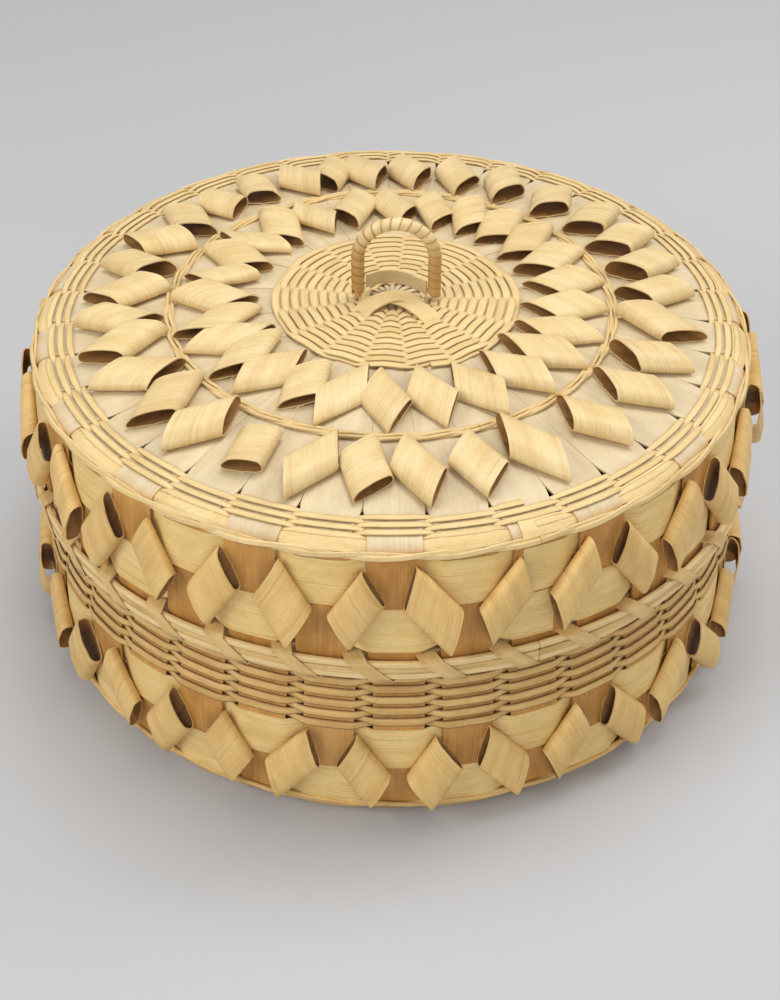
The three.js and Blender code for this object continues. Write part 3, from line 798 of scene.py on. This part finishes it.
def lashing(inner_radius, outer_radius, low, high, join_angle):
    """A flat splint wound round the rim: it slants across the outside and climbs back on the inside."""
    bound = start_splints()
    middle = (outer_radius + inner_radius) / 2.0
    corners = [
        (outer_radius, high, 0.0), (outer_radius, low, lashing_slant_share), (inner_radius, low, 0.5),
        (inner_radius, high, 0.5 + lashing_slant_share), (outer_radius, high, 1.0),
    ]

    def place(along, across):
        turns = min(along * splint_count, splint_count)
        whole = min(math.floor(turns), splint_count - 1)
        side = (turns - whole) * (len(corners) - 1)
        leg = min(max(math.ceil(side) - 1, 0), len(corners) - 2)
        radius, level, sweep = Vector(corners[leg]).lerp(Vector(corners[leg + 1]), side - leg)
        angle = join_angle + (whole + sweep) * pitch
        return round_point(angle + (across - 0.5) * lashing_width / middle, (radius, level))

    length = splint_count * 2.0 * (high - low + outer_radius - inner_radius)
    steps = splint_count * lashing_turn_steps
    lay_splint(bound, place, length, lashing_width, steps, splint_cross_steps, lashing_tone)
    return bound


def make_rim(
    part, body, join_angle, inner_radius, outer_radius, low, high, hoop_thickness, hoop_edge,
    inside, outside, below, above,
):
    """A rim's two hoops and the splint that lashes them, which lies so far outside them all round."""
    for side, radius in (("outer", outer_radius), ("inner", inner_radius)):
        hoop = finish_splints(
            rim_hoop(radius, low, high, join_angle), f"{part}_rim_strips_{side}", body,
            split_ash, hoop_thickness, [f"{part}_rim_hoop_{side}"],
        )
        round_off(hoop, hoop_edge)
    bound = lashing(
        inner_radius - inside, outer_radius + outside, low - below, high + above,
        join_angle + pitch / 2.0,
    )
    finish_splints(
        bound, f"{part}_rim_binding", body, pale_ash, lashing_thickness,
        [f"{part}_rim_lashing"],
    )


make_rim("base", "basket", base_join_angle, **base_rim)

# The collar: one plain broad weaver of the wall's cream ash fills the wall between the fine weave and
# the rim, over one upright and under the next, where the lid covers it.
collar_height = 0.0829
collar_width = 0.0150
collar_depth = 0.00085

finish_splints(
    wall_weaver(
        base_bend, base_collar_leg, base_join_angle, collar_height, collar_width,
        collar_depth, -collar_depth, sag=0.0, first_side=1.0, tone=0.0,
    ),
    "base_collar_weaver", "basket", wall_ash, weaver_thickness, [],
)

# The floor: the uprights are locked at the middle by a round of fine weave, then by broad rings of
# weaver that pass over one and under one, flat enough for the basket to stand on them. The last ring
# climbs the turn to the wall.
floor_weave_first = 0.012
# The edge darkening of these rows is painted shade in the slits between them.
floor_weave = {
    "row_count": 20, "row_step": 0.0019, "rib_count": 17,
    "over_width": 0.0032, "gap_width": 0.0024, "over": -0.0013, "under": -0.0003,
    "bulge": -0.0002, "sag": 0.0003, "edge_shade": 0.6,
}
floor_ring_width = 0.0145
floor_ring_first = 0.0535
floor_ring_count = 5
floor_ring_step = 0.0168
floor_ring_rise = 0.0009
floor_ring_drop = 0.00072
floor_ring_tones = (0.0, 0.3)
floor_turn_width = 0.0110
floor_turn_rise = 0.0013
floor_turn_reach = base_bend.reaches[base_turn_leg] + floor_turn_rise
floor_turn_over_depth = 0.0007
floor_turn_under_depth = -0.0009
floor_turn_tone = 0.1

cream_ash = ash(
    "cream_ash", pale=(0.78, 0.585, 0.29), deep=(0.66, 0.465, 0.19),
    stain_and_shade=(0.24, 0.12, 0.04), stain_share=0.15, roughness=0.5, relief=0.5,
)
finish_splints(
    spiral_weave(base_bend, floor_weave_first - hub_radius, base_join_angle, **floor_weave),
    "base_floor_fine_weave", "basket", cream_ash, fine_thickness, ["base_floor_weave"],
)


def lay_turn_weaver(splints, bend, corner_leg, join_angle, reach, width, over, under, first_side, tone):
    """A broad weaver laid once round the corner of a bend."""

    def place(along, across):
        turns = uprights_passed(along)
        depth = weaver_depth(wave(turns) * first_side, over, under)
        return round_point(join_angle - turns * pitch, bend.at(reach + (across - 0.5) * width, depth))

    length = math.tau * bend.corners[corner_leg].x
    lay_splint(splints, place, length, width, round_steps, weaver_cross_steps, tone)


floor_rings = start_splints()
for ring in range(floor_ring_count):
    middle = floor_ring_first + floor_ring_width / 2.0 + ring * floor_ring_step
    first_side = 1.0 if ring % 2 == 0 else -1.0

    def place(along, across):
        turns = uprights_passed(along)
        side = wave(turns) * first_side
        height = base_floor_height + (floor_ring_rise if side > 0.0 else floor_ring_drop) * side
        radius = middle + (across - 0.5) * floor_ring_width
        return round_point(base_join_angle - turns * pitch, (radius, height))

    tone = chance.uniform(*floor_ring_tones)
    lay_splint(
        floor_rings, place, math.tau * middle, floor_ring_width, round_steps, splint_cross_steps, tone,
    )
lay_turn_weaver(
    floor_rings, base_bend, base_turn_leg, base_join_angle, floor_turn_reach, floor_turn_width,
    floor_turn_over_depth, floor_turn_under_depth, 1.0, floor_turn_tone,
)
finish_splints(
    floor_rings, "base_floor_rings", "basket", tan_ash, curl_thickness,
    ["base_floor_weaver_inner", "base_floor_weaver_outer"],
)

# The lid's spokes: the same 35 splints cross under the woven centre, run out flat under the two rings
# of curls and turn down at the shoulder into the lid's wall. On the top they are pale and scraped clean.
lid_join_angle = math.radians(-68.7)
lid_spoke_width = 0.0212
lid_narrowing_reach = 0.119
lid_crowding_share = 0.995
lid_corners = [
    (hub_radius, 0.1399),
    (0.050, 0.139),
    (0.0868, 0.1358),
    (0.1234, 0.1314),
    (0.1366, 0.130),
    (0.1394, 0.127),
    (0.1426, 0.076),
]
lid_inner_corner = 1
lid_divider_corner = 2
lid_outer_corner = 3
lid_edge_corner = 4
lid_wall_leg = 5
lid_bend = Bend(lid_corners, outside=-1.0)
spoke_tones = (0.0, 0.2)
spoke_clean = {
    "pale": (0.69, 0.575, 0.375), "deep": (0.59, 0.46, 0.27),
    "from_height": 0.1265, "to_height": 0.1306,
}
spoke_ash = ash(
    "spoke_ash", pale=(0.64, 0.32, 0.076), deep=(0.41, 0.185, 0.043),
    stain_and_shade=(0.54, 0.33, 0.13), stain_share=0.2, roughness=0.55, relief=0.5, clean=spoke_clean,
)
finish_splints(
    lay_uprights(
        lid_bend, lid_join_angle, lid_spoke_width, lid_narrowing_reach, lid_crowding_share,
        lambda: chance.uniform(*spoke_tones),
    ),
    "lid_spokes", "lid", spoke_ash, splint_thickness,
    ["lid_splints_lower", "lid_splints_upper"],
)

# The lid's two broad weavers and its wall's curls: the same splints as the base's, woven and turned in
# the same way, but with the weavers' ends lapped at the front right, where the photograph shows them.
lid_row_height = 0.1061
weave_wall("lid", "lid", lid_bend, lid_wall_leg, lid_join_angle, lid_row_height, 0.0)
finish_splints(
    wall_curls(lid_bend, lid_wall_leg, lid_join_angle, lid_row_height),
    "lid_curls", "lid", tan_ash, curl_thickness, ["lid_wall_curls"], rough_side_painted_shade_ash,
)

# The lid's woven centre: a narrow weaver spirals out over pairs of spokes and holds them where they
# cross. At the front its rows are drawn in towards the middle over each rib, and the whole disc sits a
# little off the lid's axis.
disc_first = 0.0105
disc_rib_count = 17
disc_join_angle = math.radians(-84.0) + math.pi / disc_rib_count
disc_shift = Vector((0.0015, -0.0024, 0.0))
# The edge darkening of these rows is painted shade in the thin slits between them.
disc_weave = {
    "row_count": 20, "row_step": 0.00187, "rib_count": disc_rib_count,
    "over_width": 0.0030, "gap_width": 0.0026, "over": 0.0017, "under": 0.0009,
    "bulge": 0.00012, "sag": -0.0001, "edge_shade": 0.5, "bow": 0.0012,
}

disc = finish_splints(
    spiral_weave(lid_bend, disc_first - hub_radius, disc_join_angle, **disc_weave),
    "lid_disc_weave", "lid", cream_ash, fine_thickness, ["lid_centre_weave"],
)
for vertex in disc.data.vertices:
    vertex.co += disc_shift

# The rings of curls on the lid: splints are looped up between the spokes in two rings. On the left the
# loops lean by turns one way and the other, and on the right they lean alike and overlap like petals.

# Each pair is a curl's angle round the lid and its lean from the ring's line, in degrees.
outer_ring_curls = [
    (-117.5, -78), (-105.0, 54), (-94.6, -66), (-84.6, -54), (-73.0, -70), (-61.5, -52), (-46.0, -58),
    (-32.0, -58), (-20.5, -58), (-7.5, 58), (4.5, -58), (15.4, -58), (26.6, -58), (37.3, -58),
    (49.5, -58), (62.3, -58), (74.2, -58), (85.9, -58), (96.5, -58), (104.5, 58), (112.3, -58),
    (123.0, 75), (133.5, -80), (143.7, 58), (155.0, -58), (166.0, 58), (176.5, -58), (187.0, 58),
    (196.0, -58), (207.5, 58), (218.5, -58), (229.8, 58),
]
inner_ring_curls = [
    (-142.5, -58), (-130.8, 58), (-117.5, -70), (-105.0, 52), (-91.5, -58), (-77.2, -58), (-62.1, -58),
    (-47.2, -58), (-33.5, -58), (-20.5, -58), (-6.0, -58), (8.5, -58), (22.5, -58), (36.0, -58),
    (49.0, -58), (61.5, -58), (74.3, -58), (89.0, -58), (103.0, 58), (118.0, -58), (132.0, 58),
    (144.5, -58), (156.0, 58), (168.5, -58), (182.0, 58), (196.0, -58), (207.0, 58),
]
outer_ring = {
    "reach": (lid_bend.reaches[lid_divider_corner] + lid_bend.reaches[lid_outer_corner]) / 2.0,
    "splint_width": 0.0186, "height": 0.0077, "tilt_share": 0.0,
}
inner_ring = {
    "reach": (lid_bend.reaches[lid_inner_corner] + lid_bend.reaches[lid_divider_corner]) / 2.0,
    "splint_width": 0.0180, "height": 0.0062, "tilt_share": -0.12,
}
ring_curl_half_width = 0.0080
ring_curl_skew = 0.0008
ring_curl_wander = 0.0008
ring_lean_wander = 4.0
ring_width_shares = (0.94, 1.08)
ring_height_shares = (0.88, 1.08)
ring_flat_shares = (0.0, 0.5)
ring_flare_shares = (-0.15, 0.3)


def ring_curls(curls, reach, splint_width, height, tilt_share):
    """A ring of curls, each looped up between two spokes at its own angle and lean."""
    ring = start_splints()
    for degrees, lean_degrees in curls:
        angle = math.radians(degrees)
        side = math.copysign(1.0, lean_degrees)
        loop = chance_loop(
            ring_curl_half_width, height, ring_width_shares, ring_height_shares, ring_curl_skew,
            ring_flat_shares,
        )
        middle = reach + ring_curl_wander * chance.uniform(-1.0, 1.0)

        def wall_point(sideways, upward, outward):
            return round_point(angle, lid_bend.at(middle - upward, outward), sideways)

        lean = math.radians(abs(lean_degrees) + chance.uniform(-ring_lean_wander, ring_lean_wander))
        flare_share = chance.uniform(*ring_flare_shares)
        place = curl_place(loop, lean, side, splint_width, flare_share, tilt_share, wall_point)
        tone = chance.uniform(*curl_tones)
        lay_splint(ring, place, loop.length, splint_width, curl_along_steps, curl_cross_steps, tone)
    return ring


ring_ash = ash(
    "ring_ash", pale=(0.78, 0.60, 0.315), deep=(0.64, 0.45, 0.19),
    stain_and_shade=(0.36, 0.19, 0.06), stain_share=0.2, roughness=0.43, relief=0.4,
)
finish_splints(
    ring_curls(outer_ring_curls, **outer_ring),
    "lid_outer_ring", "lid", ring_ash, curl_thickness, ["lid_outer_ring_curls"], rough_side_painted_shade_ash,
)
finish_splints(
    ring_curls(inner_ring_curls, **inner_ring),
    "lid_inner_ring", "lid", ring_ash, curl_thickness, ["lid_inner_ring_curls"], rough_side_painted_shade_ash,
)

# Two pairs of thin strands twined over the spokes part the two rings of curls, and four flat rings of
# splint back the curls under the spokes.
divider_reach = lid_bend.reaches[lid_divider_corner]
divider_step = 0.0009
divider_thickness = 0.0012
divider_strands = {
    "out_depth": 0.0018, "in_depth": 0.0008, "swing": 0.0005, "width": 0.0013,
    "tones": (0.05, 0.2),
}
backing_radii = (0.060, 0.077, 0.096, 0.114)
backing_width = 0.0155
backing_depth = -0.0011
backing_steps = splint_count * 3
backing_tones = (0.0, 0.3)

for side, step in (("inner", -divider_step), ("outer", divider_step)):
    divider = finish_splints(
        twine(lid_bend, divider_reach + step, lid_join_angle, **divider_strands),
        f"lid_divider_strands_{side}", "lid", cream_ash, divider_thickness,
        [f"lid_divider_twine_{side}"],
    )
    round_off(divider, strand_edge)
backing = start_splints()
for radius in backing_radii:
    def place(along, across):
        distance = radius - hub_radius + (across - 0.5) * backing_width
        return round_point(lid_join_angle - along * math.tau, lid_bend.at(distance, backing_depth))

    tone = chance.uniform(*backing_tones)
    lay_splint(
        backing, place, math.tau * radius, backing_width, backing_steps, splint_cross_steps, tone,
    )
finish_splints(
    backing, "lid_backing_rings", "lid", tan_ash, curl_thickness, ["lid_top_weaver"],
)

# The lid's shoulder: rows of narrow weaver packed tight to the turn of the spokes, then one broad
# weaver over the turn itself, and under it two strands twined round the top of the wall.
shoulder_first_step = 0.0014
shoulder_first_reach = lid_bend.reaches[lid_outer_corner] + shoulder_first_step
# The edge darkening of these rows is painted shade in the slits between them.
shoulder_weave = {
    "row_count": 6, "row_step": 0.00178, "rib_count": splint_count,
    "over_width": 0.0024, "gap_width": 0.0020, "over": 0.0011, "under": -0.0006,
    "bulge": 0.0002, "sag": -0.0003, "edge_shade": 0.6,
}
turn_weaver_width = 0.0060
turn_weaver_back = 0.0001
turn_weaver_reach = lid_bend.reaches[lid_edge_corner] - turn_weaver_back
turn_weaver_under_depth = -0.0008
turn_strand_back = 0.0002
turn_strand_reach = lid_bend.reaches[lid_wall_leg] - turn_strand_back
turn_strand_thickness = 0.0011
turn_strand_sizes = {
    "out_depth": 0.0020, "in_depth": 0.0008, "swing": 0.0006, "width": strand_width,
    "tones": (0.05, 0.25),
}

shoulder = spiral_weave(lid_bend, shoulder_first_reach, lid_join_angle, **shoulder_weave)
lay_turn_weaver(
    shoulder, lid_bend, lid_edge_corner, lid_join_angle, turn_weaver_reach, turn_weaver_width,
    fine_over_depth, turn_weaver_under_depth, -1.0, 0.0,
)
finish_splints(
    shoulder, "lid_shoulder_rows", "lid", cream_ash, fine_thickness, ["lid_shoulder_weave"],
)
turn_strands = finish_splints(
    twine(lid_bend, turn_strand_reach, lid_join_angle, **turn_strand_sizes),
    "lid_turn_strands", "lid", cream_ash, turn_strand_thickness, [],
)
round_off(turn_strands, strand_edge)

# The lid's rim: coarse hoops of split ash inside and outside the spokes' ends, lashed with a pale
# splint that slants across each spoke.
lid_rim = {
    "inner_radius": 0.1395, "outer_radius": 0.1456, "low": 0.0757, "high": 0.0837,
    "hoop_thickness": 0.0022, "hoop_edge": 0.0006,
    "inside": 0.0014, "outside": 0.0016, "below": 0.0006, "above": 0.0006,
}
make_rim("lid", "lid", lid_join_angle, **lid_rim)

# The handle: a bent core wrapped edge to edge with a narrow splint, paler over the top where hands
# have worn it and browner down the legs.
handle_foot = Vector((0.002, -0.004, 0.14315))
handle_half_width = 0.0148
handle_leg_height = 0.017
handle_wrap_radius = 0.00235
handle_wrap_count = 22
handle_wrap_width = 0.0041
handle_wrap_thickness = 0.0003
handle_wrap_lap = 0.0003
# The wrap is darkened towards the edges of each turn: painted shade for the dark lines between the turns.
handle_wrap_edge_shade = 0.9
handle_turn_steps = 20
handle_wrap_cross_steps = 6
handle_look_share = 0.01
handle_length = 2.0 * handle_leg_height + math.pi * handle_half_width
handle_wrap_half_share = handle_wrap_width / handle_length / 2.0
handle_clean = {
    "pale": (0.84, 0.66, 0.35), "deep": (0.68, 0.48, 0.22),
    "from_height": 0.156, "to_height": 0.176,
}


def handle_line(share):
    """The middle of the handle from its left foot over to its right foot."""
    distance = min(max(share, 0.0), 1.0) * handle_length
    if distance < handle_leg_height:
        return handle_foot + Vector((-handle_half_width, 0.0, distance))
    if distance > handle_length - handle_leg_height:
        return handle_foot + Vector((handle_half_width, 0.0, handle_length - distance))
    turn = (distance - handle_leg_height) / handle_half_width
    return handle_foot + Vector((
        -handle_half_width * math.cos(turn), 0.0, handle_leg_height + handle_half_width * math.sin(turn),
    ))


def wrap_place(along, across):
    """The wrapping splint, wound from foot to foot, with one edge lapped a little over the other."""
    turn = along * handle_wrap_count * math.tau
    middle_share = handle_wrap_half_share + along * (1.0 - 2.0 * handle_wrap_half_share)
    share = middle_share + (2.0 * across - 1.0) * handle_wrap_half_share
    share = min(max(share, 0.0), 1.0)
    ahead = handle_line(share + handle_look_share) - handle_line(share - handle_look_share)
    depth = Vector((0.0, 1.0, 0.0))
    side = ahead.normalized().cross(depth)
    radius = handle_wrap_radius + handle_wrap_lap * (across - 0.5)
    return handle_line(share) + (depth * math.sin(turn) + side * math.cos(turn)) * radius


handle_ash = ash(
    "handle_ash", pale=(0.56, 0.34, 0.115), deep=(0.43, 0.24, 0.07),
    stain_and_shade=(0.32, 0.17, 0.05), stain_share=0.3, roughness=0.5, relief=0.5, clean=handle_clean,
)
wrapping = start_splints()
lay_splint(
    wrapping, wrap_place, handle_wrap_count * math.tau * handle_wrap_radius, handle_wrap_width,
    handle_wrap_count * handle_turn_steps, handle_wrap_cross_steps, 0.0, handle_wrap_edge_shade,
)
finish_splints(
    wrapping, "handle_wrap", "lid", handle_ash, handle_wrap_thickness, ["handle_wrapping"],
)
for slot in bpy.data.objects["handle_core"].material_slots:
    slot.material = handle_ash

# Two flat splints cross in front of the handle's feet, bent up a little over each other, and a broad
# pale splint stands on edge behind them, bowed between the feet. They tie the handle to the weave.
crossing_width = 0.0088
crossing_length = 0.03
crossing_taper_share = 0.35
crossing_look_share = 0.05
crossing_along_steps = 24
crossing_cross_steps = 4
bow_width = 0.0058
bow_length = 0.026
bow_along_steps = 20
bow_cross_steps = 3

# The points that each splint passes through, as steps from the middle between the feet.
crossing_points = {
    "left": [
        (-0.0150, -0.0106, -0.0030), (-0.0105, -0.0076, 0.0), (-0.0040, -0.0042, 0.0016),
        (0.0030, -0.0030, 0.0016), (0.0100, -0.0058, -0.0002),
    ],
    "right": [
        (0.0160, -0.0158, -0.0034), (0.0110, -0.0112, -0.0006), (0.0050, -0.0062, 0.0006),
        (-0.0010, -0.0032, 0.0006), (-0.0070, -0.0015, 0.0002),
    ],
}
bow_points = [
    (-0.0118, 0.0048, 0.0034), (-0.0050, 0.0074, 0.0038), (0.0030, 0.0068, 0.0036),
    (0.0118, 0.0012, 0.0028),
]
bow_ash = ash(
    "bow_ash", pale=(0.72, 0.54, 0.29), deep=(0.58, 0.41, 0.20),
    stain_and_shade=(0.40, 0.24, 0.10), stain_share=0.15, roughness=0.5, relief=0.3,
)


def lay_over(points, width, on_edge):
    """A flat splint bent through a few points by the handle's feet, standing on edge or lying flat."""
    marks = with_ends([handle_foot + Vector(point) for point in points])

    def place(along, across):
        reach = along * (len(marks) - 3)
        leg = min(int(reach), len(marks) - 4)
        spot = curve_point(marks[leg:leg + 4], reach - leg)
        if on_edge:
            return spot + Vector((0.0, 0.0, (across - 0.5) * width))
        ahead = curve_point(marks[leg:leg + 4], reach - leg + crossing_look_share) - spot
        side = Vector((-ahead.y, ahead.x, 0.0)).normalized()
        return spot + side * (across - 0.5) * width * (1.0 - crossing_taper_share * along)

    return place


for name, points in crossing_points.items():
    splint = start_splints()
    lay_splint(
        splint, lay_over(points, crossing_width, on_edge=False), crossing_length, crossing_width,
        crossing_along_steps, crossing_cross_steps, 0.0,
    )
    finish_splints(
        splint, f"handle_crossing_{name}", "lid", cream_ash, weaver_thickness,
        [f"handle_cross_splint_{name}"],
    )
bow = start_splints()
lay_splint(
    bow, lay_over(bow_points, bow_width, on_edge=True), bow_length, bow_width, bow_along_steps,
    bow_cross_steps, 0.0,
)
finish_splints(bow, "handle_bow", "lid", bow_ash, weaver_thickness, ["handle_strap"])
